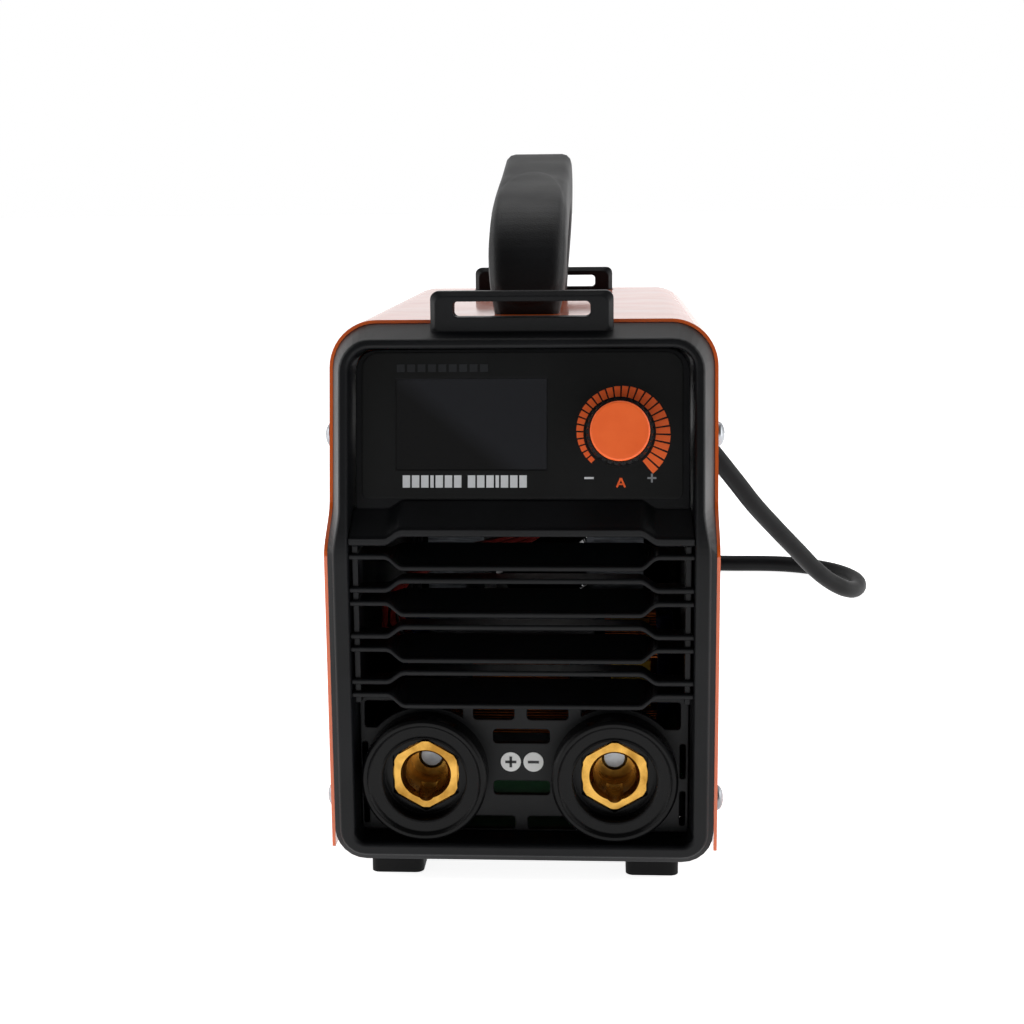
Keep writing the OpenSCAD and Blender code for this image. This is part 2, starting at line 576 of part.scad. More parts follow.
panel_back = rear_y - rear_recess;
module rear_panel() color("#232427") difference() {
    translate([0, panel_back - 1.5, 86]) along_y(1.5) rounded_box(2 * grille_half + 6, 152.6, 7);
    translate([0, panel_back - 3, fan_z]) cyl_y(38.5, 6);
    for (x = [-1, 1], z = [-1, 1]) translate([x * 35.75, panel_back - 3, fan_z + z * 35.75]) cyl_y(2.2, 6);
    translate([switch_x, panel_back - 3, switch_z]) along_y(6) rounded_box(20.6, 13.2, 0.5);
    translate([gland_x, panel_back - 3, gland_z]) cyl_y(8.1, 6);
    for (x = [-45.2, 45.2], z = [17.6, 151.5]) translate([x, panel_back - 3, z]) cyl_y(1.7, 6);
    for (i = [0:4]) translate([-2, panel_back - 3, 110 + i * 4]) along_y(6) rounded_box(64, 1.8, 0.8);
}
module rear_screws() color(STEEL) for (x = [-45.2, 45.2], z = [17.6, 151.5])
    translate([x, panel_back, z]) rotate([-90, 0, 0]) difference() {
        pan_screw(1.6, 3.2, 2, 7);
        cross_slot(1.1, 3.4);
    }

guard_t = 1.6;
module fan_guard() color(STEEL) translate([0, panel_back + 1.7, fan_z]) rotate([-90, 0, 0]) {
    for (r = [12, 18.5, 25, 31.5, 38]) rotate_extrude($fn = 56) translate([r, 0])
        circle(r = guard_t / 2, $fn = 12);
    for (a = [45:90:315]) rotate(a) {
        translate([11.6, 0, -0.9]) rotate([0, 90, 0]) cylinder(r = 0.8, h = 36.8);
        translate([50.56, 0, -0.5]) difference() {
            cylinder(r = 3.6, h = 1.6, center = true);
            cylinder(r = 2.05, h = 4, center = true);
        }
    }
}
fan_front = panel_back - 1.6 - fan_t;
module fan_frame() color("#151618") translate([0, fan_front, fan_z]) difference() {
    union() {
        for (y = [0, fan_t - 4]) translate([0, y, 0]) along_y(4) rounded_box(fan_size, fan_size, 4);
        cyl_y(40, fan_t);
    }
    translate([0, -1, 0]) cyl_y(38.2, fan_t - 2);
    translate([0, fan_t - 4, 0]) difference() {
        cyl_y(38.2, 6);
        translate([0, 1, 0]) for (a = [20:90:290]) rotate([0, a, 0])
            translate([-2.5, 0, 14]) cube([5, 3, 26]);
        translate([0, 1, 0]) cyl_y(17, 3);
    }
    for (x = [-1, 1], z = [-1, 1]) translate([x * 35.75, -1, z * 35.75]) cyl_y(2.2, fan_t + 2);
}
motor_y = fan_front + fan_t - 3;
module fan_motor() color(COPPER) translate([0, motor_y, fan_z]) difference() {
    union() {
        translate([0, -3, 0]) cyl_y(16, 3);
        translate([0, -16, 0]) cyl_y(4, 13.1);
        for (a = [0:90:270]) rotate([0, a, 0]) translate([-3.5, -13, 3.6]) cube([7, 9, 8]);
    }
    translate([0, -18, 0]) cyl_y(1.55, 17);
}
module fan_rotor() color("#1c1d20") translate([0, fan_front + 1.6, fan_z]) {
    difference() {
        cyl_y(17, 15.6);
        translate([0, 1.8, 0]) cyl_y(15.2, 16);
    }
    cyl_y(1.5, 16);
    for (k = [0:6]) rotate([0, k * 360 / 7, 0]) intersection() {
        translate([0, 0.5, 26.8]) rotate([0, 0, 42]) cube([1.6, 40, 20.4], center = true);
        translate([0, 0.4, 0]) difference() {
            cyl_y(36.6, 15);
            translate([0, -1, 0]) cyl_y(16.4, 18);
        }
    }
}
module fan_screws() color(STEEL) for (x = [-1, 1], z = [-1, 1])
    translate([x * 35.75, panel_back + 2.05, fan_z + z * 35.75]) rotate([-90, 0, 0]) difference() {
        pan_screw(1.95, 3.5, 2.2, 30);
        cross_slot(1.2, 3.6);
    }

// The switch's pivot lies behind the panel; its cavity clears the rocker's swing
pivot_y = panel_back - 2.6;
module switch_body() color("#141517") translate([switch_x, 0, switch_z]) difference() {
    union() {
        translate([0, panel_back, 0]) along_y(1.8) rounded_box(24.4, 15, 1.6);
        translate([0, panel_back - 15, 0]) along_y(15) rounded_box(20.4, 13, 0.6);
        for (x = [-6, 0, 6]) box([x - 0.4, panel_back - 22, -2.4], [x + 0.4, panel_back - 14, 2.4]);
    }
    translate([0, panel_back - 11, 0]) along_y(16) square([18.6, 10.6], center = true);
    translate([0, pivot_y, -8]) cylinder(r = 1.32, h = 16);
}
rocker_rest = 12;
module switch_rocker() color("#202124") translate([switch_x, pivot_y, switch_z])
    rotate([0, 0, -rocker_rest]) {
        translate([0, 0, -5.1]) linear_extrude(10.2) polygon(rounded([[-7.6, -2.2, 1],
            [-2.5, -5, 1], [2.5, -5, 1], [7.6, -2.2, 1], [7.9, 5.2, 0.8], [0, 3.4, 9],
            [-7.9, 5.2, 0.8]]));
        translate([0, 0, -6.3]) cylinder(r = 1.25, h = 12.6);
    }

module cable_gland() color("#17181a") translate([gland_x, 0, gland_z]) difference() {
    union() {
        translate([0, panel_back - 9, 0]) cyl_y(8, 9.2);
        translate([0, panel_back - 6, 0]) rotate([-90, 0, 0]) cylinder(r = 11.5, h = 4.4, $fn = 6);
        translate([0, panel_back, 0]) rotate([-90, 0, 0]) cylinder(r = 11.5, h = 5, $fn = 6);
        translate([0, panel_back + 5, 0]) rotate([-90, 0, 0]) cylinder(r1 = 10, r2 = 8.2, h = 9);
    }
    translate([0, panel_back - 10, 0]) cyl_y(cord_d / 2 + 1.2, 40);
}
relief_end = rear_y + 30;
module strain_relief() color("#1b1c1e") translate([gland_x, 0, gland_z]) difference() {
    rotate([-90, 0, 0]) rotate_extrude() polygon([[0, panel_back - 9], [5.35, panel_back - 9],
        [5.35, panel_back + 14], [7.4, panel_back + 14.4], [7, panel_back + 18],
        [5.3, relief_end], [0, relief_end]]);
    for (i = [0:3], a = [0, 90]) rotate([0, a + 45 * (i % 2), 0])
        translate([-8, panel_back + 19 + i * 4.2, 0]) for (s = [-1, 1])
            translate([0, 0, s * 7.6 - 1.6]) cube([16, 1.6, 3.2]);
}

// ---------- mains lead ----------

coil_centre = [20, 279];
coil_base = 1;
coil_h = 25.5;
// From the strain relief down to the floor on the right, then round behind to the coil
cord_route = [[gland_x, relief_end, gland_z], [32.8, 147.7, 131.2], [35.3, 156.8, 128.7],
    [39.2, 164.8, 124.7], [44.3, 171.2, 119.5], [50.4, 175.6, 113.3], [59, 180, 104.6],
    [68.2, 185, 94.5], [77.2, 190.8, 83], [86, 197.5, 71.5], [95, 206, 59.5], [106.5, 217, 46],
    [118.5, 228.5, 32.5], [127, 237, 22.8], [135.5, 245.5, 14.6], [144.2, 254, 8.5],
    [150.6, 263.2, 5.4], [154.8, 274.5, 4.4], [156, 286.4, 4.3], [154, 298.2, 4.3],
    [149, 309.2, 4.3], [141.4, 318.4, 4.3], [131.6, 325.4, 4.3], [120.3, 329.6, 4.3],
    [108, 330.8, 4.3], [94, 330.8, 4.3], [80, 330.8, 4.5], [62, 330.8, 4.9], [45, 330.8, 5.3]];
module power_cord() color("#161719") tube(cord_route, cord_d / 2, 10);

module cord_coil() color("#161719") translate([coil_centre[0], coil_centre[1], coil_base])
    rotate_extrude($fn = 64) translate([coil_r - cord_d, 0]) polygon(rounded([[0, 0, 3],
        [17, 0, 3], [17, coil_h, 3], [0, coil_h, 3]], 3));
module cord_tie() color("#303236") translate([coil_centre[0], coil_centre[1], 0])
    rotate(-60) translate([coil_r, 0, 0]) difference() {
        box([-9.7, -2.5, 0.1], [9.7, 2.5, coil_base + coil_h + 0.9]);
        box([-8.6, -3, coil_base], [8.6, 3, coil_base + coil_h + 0.05]);
    }

// The plug lies on the coil and points back towards the machine
plug_x = coil_centre[0] - coil_r;
plug_z = coil_base + coil_h + 18.65;
plug_y = coil_centre[1] - 14;
module plug_body() color("#17181a") translate([plug_x, plug_y, plug_z]) rotate([90, 0, 0])
    rotate_extrude() polygon(rounded([[0, -14, 0], [5.6, -14, 0.5], [7.2, 0, 3], [13, 4, 5],
        [17.4, 14, 4], [18.6, 20, 1], [18.6, 38, 1.2], [0, 38, 0]], 4));
module plug_pins() color(STEEL) for (s = [-1, 1])
    translate([plug_x + s * 9.5, plug_y - 38, plug_z]) rotate([90, 0, 0]) {
        cylinder(r = 2.35, h = 17.6);
        translate([0, 0, 17.6]) sphere(r = 2.35, $fn = 32);
    }

// ---------- electronics ----------

board_z = 17;
module main_board() color(BOARD) difference() {
    box([-50, fy(46), board_z], [50, fan_front - 4, board_z + 1.6]);
    for (x = [-45, 45], y = [fy(52), fan_front - 10]) translate([x, y, 0]) cylinder(r = 1.6, h = 40);
}
module board_standoffs() color(BRASS) for (x = [-45, 45], y = [fy(52), fan_front - 10])
    translate([x, y, tray_z + 1.2]) difference() {
        cylinder(r = 3.4, h = board_z - tray_z - 1.2, $fn = 6);
        cylinder(r = 1.6, h = 30);
    }
module board_screws() color(STEEL) for (x = [-45, 45], y = [fy(52), fan_front - 10])
    translate([x, y, board_z + 1.6]) pan_screw(1.5, 2.8, 1.9, 7);

part_z = board_z + 1.6;
module heatsinks() color("#a9adb2") for (s = [-1, 1]) {
    box([min(s * 18, s * 20.5), fy(98), part_z], [max(s * 18, s * 20.5), fy(160), part_z + 78]);
    for (k = [0:8]) box([min(s * 20.4, s * 38), fy(100 + k * 7), part_z + 6],
        [max(s * 20.4, s * 38), fy(101.6 + k * 7), part_z + 78]);
}
module power_transistors() color("#1b1b1d") for (s = [-1, 1], k = [0:2]) {
    box([min(s * 13, s * 17.95), fy(102 + k * 19), part_z + 8],
        [max(s * 13, s * 17.95), fy(117.6 + k * 19), part_z + 28]);
    for (j = [0:2]) box([s * 15.5 - 0.5, fy(104 + k * 19 + j * 5.4), part_z],
        [s * 15.5 + 0.5, fy(105 + k * 19 + j * 5.4), part_z + 8]);
}
module bulk_capacitors() color("#2b2f7a") for (k = [0:1], s = [-1, 1])
    translate([s * 44 - s * 0.5, fy(112 + k * 28), part_z]) {
        rotate_extrude() polygon(rounded([[0, 0, 0], [5.4, 0, 0.8], [5.4, 38, 0.8], [0, 38, 0]]));
    }
module transformer_core() color("#3a3a3d") difference() {
    box([-27, fy(58), part_z + 3], [21, fy(88), part_z + 51]);
    for (z = [11, 33]) box([-19, fy(57), part_z + z], [13, fy(89), part_z + z + 10]);
}
module transformer_winding() color(COPPER) difference() {
    box([-18.9, fy(53), part_z + 11.1], [12.9, fy(93), part_z + 42.9]);
    box([-20, fy(57.9), part_z + 20.9], [14, fy(88.1), part_z + 33.1]);
}
choke_at = [33, fy(74), part_z + 26];
module choke_core() color("#d8b23a") translate(choke_at) rotate([0, 90, 0])
    rotate_extrude() translate([10.5, -6.5]) square([10, 13]);
module choke_winding() color(COPPER) translate(choke_at) rotate([0, 90, 0])
    for (k = [0:13]) rotate(k * 360 / 14 + 8) difference() {
        translate([8.4, -1.5, -8.6]) cube([14.2, 3, 17.2]);
        translate([10.4, -3, -6.6]) cube([10.2, 6, 13.2]);
    }
// Thin black sheets between the electronics and the cover's sides
module insulation_sheets() color("#151516") for (s = [-1, 1])
    box([min(s * 53.7, s * 54.1), fy(flange_depth + 1), 29], [max(s * 53.7, s * 54.1), rear_y - 27, 150]);
module input_rectifier() color("#1f1f22") translate([-38, fy(64), part_z]) difference() {
    box([-5, -14, 4], [1, 14, 24]);
    translate([-6, 0, 17]) rotate([0, 90, 0]) cylinder(r = 2, h = 12);
}
module start_relay() color("#2d4f8f") box([-46, fy(80), part_z], [-30.5, fy(96.5), part_z + 19]);

// Red leads from the board up to the control board, and black leads from the switch
red_route = [[-38, fy(94.5), 41], [-43, fy(84), 45], [-47, fy(66), 56], [-47, fy(48), 67],
    [-45, fy(36), 77], [-39, fy(30), 86], [-28, fy(27), 92], [-14, fy(26), 95],
    [0, fy(28), 99], [11, fy(33), 105], [18, fy(38), 112], [21, fy(38), 119]];
module wiring_red() color("#b3201c") for (k = [0:2])
    tube([for (p = red_route) p + [k * 2.4, k * 1.3, k * 2.1]], 1.1, 8);
black_route = [[switch_x, panel_back - 23, switch_z], [-31, fy(168), 129], [-34, fy(150), 124],
    [-38, fy(130), 116], [-42, fy(110), 104], [-43, fy(96), 90], [-43, fy(86), 74],
    [-42, fy(82), 60]];
module wiring_black() color("#222326") for (k = [0:1])
    tube([for (p = black_route) p + [k * 2.8, 0, k * 2.2]], 1.3, 8);

// ---------- nodes ----------

front_bezel();
control_panel();
vent_grille();
control_label();
dial_scale();
display_window();
lcd_module();
control_board();
potentiometer();
dial_nut();
knob_body();
knob_cap();
socket_panel();
positive_socket();
negative_socket();
positive_contact();
negative_contact();
socket_rings();
contact_bolts();
polarity_discs();
output_busbars();
top_cover();
cover_screws();
base_tray();
feet();
foot_screws();
handle_grip();
handle_screws();
rear_bezel();
rear_panel();
rear_screws();
fan_guard();
fan_frame();
fan_motor();
fan_rotor();
fan_screws();
switch_body();
switch_rocker();
cable_gland();
strain_relief();
power_cord();
cord_coil();
cord_tie();
plug_body();
plug_pins();
main_board();
board_standoffs();
board_screws();
heatsinks();
power_transistors();
bulk_capacitors();
transformer_core();
transformer_winding();
choke_core();
choke_winding();
input_rectifier();
start_relay();
insulation_sheets();
wiring_red();
wiring_black();
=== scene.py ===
"""Looks of the stick welding inverter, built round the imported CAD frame. Metres, +Z up, front to -Y."""

import json
import math

import bmesh
import bpy
from mathutils import Matrix, Vector


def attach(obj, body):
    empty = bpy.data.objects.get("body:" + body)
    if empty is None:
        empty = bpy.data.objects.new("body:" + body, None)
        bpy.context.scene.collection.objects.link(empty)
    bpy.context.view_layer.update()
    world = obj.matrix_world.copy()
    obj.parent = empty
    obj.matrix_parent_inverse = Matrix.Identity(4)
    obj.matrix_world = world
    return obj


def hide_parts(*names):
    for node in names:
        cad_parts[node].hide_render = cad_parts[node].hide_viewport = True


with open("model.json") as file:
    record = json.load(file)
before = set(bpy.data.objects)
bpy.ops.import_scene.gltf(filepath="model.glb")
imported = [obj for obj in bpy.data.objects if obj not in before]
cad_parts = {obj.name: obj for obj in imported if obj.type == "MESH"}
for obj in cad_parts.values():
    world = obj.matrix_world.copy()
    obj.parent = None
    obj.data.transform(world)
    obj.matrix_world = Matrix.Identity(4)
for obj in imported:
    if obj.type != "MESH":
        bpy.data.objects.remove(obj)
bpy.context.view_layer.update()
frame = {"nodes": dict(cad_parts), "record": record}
nodes = frame["nodes"]
MM = 0.001

# ---------- camera ----------

CAMERA_AT = (0.0255, -0.5824, 0.2027)
LENS, SENSOR = 59.0, 36.0
YAW, PITCH, ROLL = math.radians(3.33), math.radians(10.51), math.radians(-0.55)


def add_camera():
    ahead = Vector((-math.sin(YAW) * math.cos(PITCH), math.cos(YAW) * math.cos(PITCH), -math.sin(PITCH)))
    side = Vector((math.cos(YAW), math.sin(YAW), 0))
    up = side.cross(ahead)
    right = side * math.cos(ROLL) + up * math.sin(ROLL)
    top = up * math.cos(ROLL) - side * math.sin(ROLL)
    data = bpy.data.cameras.new("camera")
    data.lens = LENS
    data.sensor_width = SENSOR
    data.clip_start = 0.01
    data.dof.use_dof = False
    camera = bpy.data.objects.new("camera", data)
    turn = Matrix((right, top, -ahead)).transposed().to_4x4()
    camera.matrix_world = Matrix.Translation(CAMERA_AT) @ turn
    bpy.context.scene.collection.objects.link(camera)
    bpy.context.scene.camera = camera


add_camera()

# ---------- mains lead ----------

CORD_D = 8.5
# The free stretch, in millimetres, from the strain relief to the coil
CORD_ROUTE = [
    (32, 138.1, 132), (32.8, 147.7, 131.2), (35.3, 156.8, 128.7), (39.2, 164.8, 124.7),
    (44.3, 171.2, 119.5), (50.4, 175.6, 113.3), (59, 180, 104.6), (68.2, 185, 94.5),
    (77.2, 190.8, 83), (86, 197.5, 71.5), (95, 206, 59.5), (106.5, 217, 46), (118.5, 228.5, 32.5),
    (127, 237, 22.8), (135.5, 245.5, 14.6), (144.2, 254, 8.5), (150.6, 263.2, 5.4),
    (154.8, 274.5, 4.4), (156, 286.4, 4.3), (154, 298.2, 4.3), (149, 309.2, 4.3),
    (141.4, 318.4, 4.3), (131.6, 325.4, 4.3), (120.3, 329.6, 4.3), (108, 330.8, 4.3),
    (94, 330.8, 4.3), (80, 330.8, 4.5), (62, 330.8, 4.9), (45, 330.8, 5.3),
]
COIL_CENTRE = (20, 279)
COIL_BASE = 1.0
TURN_OUT, TURN_IN = 51.75, 43.25
# Radius and layer of each turn
COIL_SLOTS = [(TURN_OUT, 0), (TURN_IN, 0), (TURN_IN, 1), (TURN_OUT, 1), (TURN_OUT, 2), (TURN_IN, 2)]
PLUG_AXIS = (-47.5, 45.15)  # from the coil's centre, and above the floor
FIRST_LAYER = 4.3  # the lowest turn's centre, above the coil's base
FULL_TURNS = 5
# Degrees a turn takes to cross to its next slot; each crossing starts that much earlier
CROSSING = 60
# The last turn rises to the plug: where it starts, how far it takes, where it ends
RISE_START = 360 * FULL_TURNS - 35
RISE_LENGTH = 123
COIL_END = 360 * FULL_TURNS + 88
COIL_STEP, ROUTE_STEPS = 8, 5
PLUG_ENTRY = (4, 9)


def ease(t):
    """0 to 1, with no jump in curvature at either end."""
    t = min(1.0, max(0.0, t))
    return t * t * t * (10 - 15 * t + 6 * t * t)


def coil_point(turned):
    """Centre of the lead after it has turned so many degrees round the coil."""
    turn = int(turned // 360)
    phase = turned - 360 * turn
    window = 360 - CROSSING * (turn + 1)
    a, b = COIL_SLOTS[min(turn, FULL_TURNS)], COIL_SLOTS[min(turn + 1, FULL_TURNS)]
    t = ease((phase - window) / CROSSING) if turn < FULL_TURNS else 0
    radius = a[0] + (b[0] - a[0]) * t
    z = COIL_BASE + FIRST_LAYER + CORD_D * (a[1] + (b[1] - a[1]) * t)
    lift = ease((turned - RISE_START) / RISE_LENGTH)
    radius += (-PLUG_AXIS[0] - radius) * lift
    z += (PLUG_AXIS[1] - z) * lift
    angle = math.radians(90 + turned)
    return Vector((COIL_CENTRE[0] + radius * math.cos(angle), COIL_CENTRE[1] + radius * math.sin(angle), z))


def smooth_path(points, steps):
    """Catmull-Rom curve through the points."""
    p = [Vector(q) for q in points]
    p = [2 * p[0] - p[1]] + p + [2 * p[-1] - p[-2]]
    out = []
    for i in range(1, len(p) - 2):
        a, b, c, d = p[i - 1:i + 3]
        for k in range(steps):
            t = k / steps
            out.append(0.5 * (2 * b + (c - a) * t + (2 * a - 5 * b + 4 * c - d) * t * t
                              + (3 * b - a - 3 * c + d) * t ** 3))
    out.append(p[-2])
    return out


def cord_path():
    """The whole lead in metres: the free stretch, the coil, and the straight end at the plug."""
    path = smooth_path(CORD_ROUTE, ROUTE_STEPS)
    path += [coil_point(a) for a in range(0, COIL_END + 1, COIL_STEP)]
    end = path[-1]
    tail = Vector((COIL_CENTRE[0] + PLUG_AXIS[0], end.y, PLUG_AXIS[1]))
    path += [tail - Vector((0, d, 0)) for d in PLUG_ENTRY]
    return [q * MM for q in path]


def curve_piece(name, points, radius, sides=6):
    data = bpy.data.curves.new(name, "CURVE")
    data.dimensions = "3D"
    data.bevel_depth = radius
    data.bevel_resolution = sides
    data.use_fill_caps = True
    spline = data.splines.new("POLY")
    spline.points.add(len(points) - 1)
    for point, q in zip(spline.points, points):
        point.co = (*q, 1)
    shape = bpy.data.objects.new(name + "_line", data)
    bpy.context.scene.collection.objects.link(shape)
    mesh = bpy.data.meshes.new_from_object(shape.evaluated_get(bpy.context.evaluated_depsgraph_get()))
    bpy.data.objects.remove(shape)
    bpy.data.curves.remove(data)
    for face in mesh.polygons:
        face.use_smooth = True
    piece = bpy.data.objects.new(name, mesh)
    bpy.context.scene.collection.objects.link(piece)
    return piece


lead_points = cord_path()
lead = curve_piece("mains_lead", lead_points, CORD_D / 2 * MM)
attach(lead, "machine")
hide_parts("power_cord", "cord_coil")

# ---------- printed marks ----------

# The control panel leans back from its bend; the discs' faces stand upright (millimetres)
LEAN = math.radians(10)
BEND_Z = 103.0
PANEL_Y = -95.9
DISC_Y = -94.2


def on_panel(x, z, out):
    """Model point on the leaning control panel, 'out' in front of it."""
    up = (z - BEND_Z) / math.cos(LEAN)
    return Vector((x, PANEL_Y + up * math.sin(LEAN) - out * math.cos(LEAN),
                   BEND_Z + up * math.cos(LEAN) + out * math.sin(LEAN)))


def printed(name, outlines, place, low, high):
    """Raised ink: each outline, counter-clockwise seen from the front, between two heights."""
    work = bmesh.new()
    for outline in outlines:
        back = [work.verts.new(place(x, z, low) * MM) for x, z in outline]
        face = [work.verts.new(place(x, z, high) * MM) for x, z in outline]
        work.faces.new(face)
        work.faces.new(back[::-1])
        for i in range(len(outline)):
            j = (i + 1) % len(outline)
            work.faces.new((back[i], back[j], face[j], face[i]))
    bmesh.ops.recalc_face_normals(work, faces=work.faces)
    mesh = bpy.data.meshes.new(name)
    work.to_mesh(mesh)
    work.free()
    piece = bpy.data.objects.new(name, mesh)
    bpy.context.scene.collection.objects.link(piece)
    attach(piece, "machine")
    return piece


def bar(x, z, w, h):
    left, right, low, high = x - w / 2, x + w / 2, z - h / 2, z + h / 2
    return [(left, low), (right, low), (right, high), (left, high)]


def plus_sign(x, z, size, width):
    return [bar(x, z, size, width), bar(x, z, width, size)]


def stroke(x0, z0, x1, z1, w):
    """A slanting bar between two points."""
    along = Vector((x1 - x0, z1 - z0)).normalized() * w / 2
    dx, dz = along.y, -along.x
    return [(x0 - dx, z0 - dz), (x0 + dx, z0 + dz), (x1 + dx, z1 + dz), (x1 - dx, z1 - dz)]


def on_disc(x, z, out):
    return Vector((x, DISC_Y - out, z))


def name_row():
    """Plain blocks in two groups, where a machine of this kind has its name."""
    widths = (2.2, 2.2, 2.2, 1.0, 2.2, 2.2, 2.2)
    start, z, height, gap, group_gap = -35.4, 120.9, 3.6, 0.55, 1.9
    blocks = []
    for index, width in enumerate(widths * 2):
        blocks.append(bar(start + width / 2, z, width, height))
        start += width + (group_gap if index == len(widths) - 1 else gap)
    return blocks


def top_row():
    """Faint blocks above the display."""
    start, step, z, width, height = -36, 3.1, 154, 2.3, 2.2
    return [bar(start + step * i, z, width, height) for i in range(9)]


def unit_sign(x, low, high):
    """The sign for amperes: two slanting strokes and a crossbar."""
    width, half, apex = 0.55, 1.2, 0.05
    return [stroke(x - half, low, x - apex, high, width), stroke(x + half, low, x + apex, high, width),
            bar(x, low + 0.9, 1.5, 0.45)]


PANEL_INK = (0.38, 0.5)
DISC_INK = (-0.02, 0.12)
SIGN_Z = 121.9
PLUS_DISC_X, MINUS_DISC_X, DISC_Z = -4, 2.9, 34.5
DISC_SIGN, DISC_LINE = 3.4, 0.8
on_label = {
    "name_blocks": name_row(),
    "minus_mark": [bar(19.9, SIGN_Z, 2.8, 0.6)],
    "plus_mark": plus_sign(38.4, SIGN_Z, 2.6, 0.55),
    "unit_mark": unit_sign(29.3, 119.2, SIGN_Z),
    "top_marks": top_row(),
}
marks = {key: printed(key, outlines, on_panel, *PANEL_INK) for key, outlines in on_label.items()}
disc_signs = plus_sign(PLUS_DISC_X, DISC_Z, DISC_SIGN, DISC_LINE)
disc_signs.append(bar(MINUS_DISC_X, DISC_Z, DISC_SIGN, DISC_LINE))
marks["disc_marks"] = printed("disc_marks", disc_signs, on_disc, *DISC_INK)
# The material of each mark
INKS = {"name_blocks": "ink_light", "minus_mark": "ink_light", "plus_mark": "ink_grey",
        "unit_mark": "orange_plastic", "top_marks": "ink_dark", "disc_marks": "ink_black"}

# ---------- materials ----------


def rgb(code):
    """Linear colour from a hex string."""
    values = [int(code[i:i + 2], 16) / 255 for i in (1, 3, 5)]
    return [v / 12.92 if v < 0.04045 else ((v + 0.055) / 1.055) ** 2.4 for v in values] + [1.0]


class Shader:
    """A node material round one Principled shader."""

    def __init__(self, name, base, rough, metal=0.0, specular=0.5):
        self.mat = bpy.data.materials.new(name)
        self.mat.use_nodes = True
        self.tree = self.mat.node_tree
        self.bsdf = self.tree.nodes["Principled BSDF"]
        self.bsdf.inputs["Base Color"].default_value = rgb(base)
        self.bsdf.inputs["Roughness"].default_value = rough
        self.bsdf.inputs["Metallic"].default_value = metal
        self.bsdf.inputs["Specular IOR Level"].default_value = specular
        self.coords = self.add("ShaderNodeTexCoord").outputs["Object"]

    def add(self, kind, **settings):
        node = self.tree.nodes.new(kind)
        for key, value in settings.items():
            setattr(node, key, value)
        return node

    def link(self, out, to):
        self.tree.links.new(out, to)

    def noise(self, scale, detail=4.0, stretch=(1, 1, 1)):
        mapping = self.add("ShaderNodeMapping")
        mapping.inputs["Scale"].default_value = stretch
        self.link(self.coords, mapping.inputs["Vector"])
        node = self.add("ShaderNodeTexNoise")
        node.inputs["Scale"].default_value = scale
        node.inputs["Detail"].default_value = detail
        self.link(mapping.outputs[0], node.inputs["Vector"])
        return node.outputs["Fac"]

    def spread(self, value, low, high, start=0.3, end=0.7):
        node = self.add("ShaderNodeMapRange")
        node.inputs["From Min"].default_value = start
        node.inputs["From Max"].default_value = end
        node.inputs["To Min"].default_value = low
        node.inputs["To Max"].default_value = high
        self.link(value, node.inputs["Value"])
        return node.outputs["Result"]

    def rough_from(self, value, low, high, start=0.3, end=0.7):
        self.link(self.spread(value, low, high, start, end), self.bsdf.inputs["Roughness"])
        return self

    def colour_from(self, value, dark, light, start=0.35, end=0.65):
        mix = self.add("ShaderNodeMix", data_type="RGBA")
        self.link(self.spread(value, 0, 1, start, end), mix.inputs["Factor"])
        mix.inputs[6].default_value = rgb(dark)
        mix.inputs[7].default_value = rgb(light)
        self.link(mix.outputs[2], self.bsdf.inputs["Base Color"])
        return self

    def bump_from(self, value, strength, distance):
        node = self.add("ShaderNodeBump")
        node.inputs["Strength"].default_value = strength
        node.inputs["Distance"].default_value = distance
        self.link(value, node.inputs["Height"])
        if self.bsdf.inputs["Normal"].is_linked:
            self.link(self.bsdf.inputs["Normal"].links[0].from_socket, node.inputs["Normal"])
        self.link(node.outputs["Normal"], self.bsdf.inputs["Normal"])
        return self

    def soft_edges(self, radius):
        """Rounds the shading of sharp edges, so that they catch the light."""
        node = self.add("ShaderNodeBevel", samples=4)
        node.inputs["Radius"].default_value = radius
        self.link(node.outputs["Normal"], self.bsdf.inputs["Normal"])
        return self

    def slope(self, direction, start, end):
        """0 to 1 along a direction, between two distances from the origin."""
        dot = self.add("ShaderNodeVectorMath", operation="DOT_PRODUCT")
        self.link(self.coords, dot.inputs[0])
        dot.inputs[1].default_value = direction
        return self.spread(dot.outputs["Value"], 0, 1, start, end)

    def coat(self, weight, rough):
        self.bsdf.inputs["Coat Weight"].default_value = weight
        self.bsdf.inputs["Coat Roughness"].default_value = rough
        return self


def moulded(name, dark, light, low, high, grain=2600, bump=0.12, edge=0.0006, specular=0.26):
    """Moulded black plastic: spark-eroded grain and slow changes of sheen."""
    s = Shader(name, dark, low, specular=specular)
    s.rough_from(s.noise(38, 5), low, high)
    s.colour_from(s.noise(55, 6), dark, light)
    s.soft_edges(edge)
    s.bump_from(s.noise(grain, 2), bump, 0.0004)
    return s.mat


def paint(name, base, dark):
    """Glossy sheet-metal paint with a clear coat."""
    s = Shader(name, base, 0.32, specular=0.5)
    s.rough_from(s.noise(60, 5), 0.28, 0.40)
    s.colour_from(s.noise(35, 4), dark, base, 0.25, 0.6)
    s.bump_from(s.noise(900, 3), 0.05, 0.0003)
    s.bsdf.inputs["Coat IOR"].default_value = 1.6
    return s.coat(0.8, 0.07).mat


def metal(name, dark, light, low, high, stretch=(1, 1, 1), grain=700, bump=0.08):
    """Bare metal; stretch draws its marks out along an axis."""
    s = Shader(name, light, low, metal=1.0)
    s.rough_from(s.noise(90, 4, stretch), low, high)
    s.colour_from(s.noise(160, 5, stretch), dark, light)
    s.bump_from(s.noise(grain, 2, stretch), bump, 0.0003)
    return s.mat


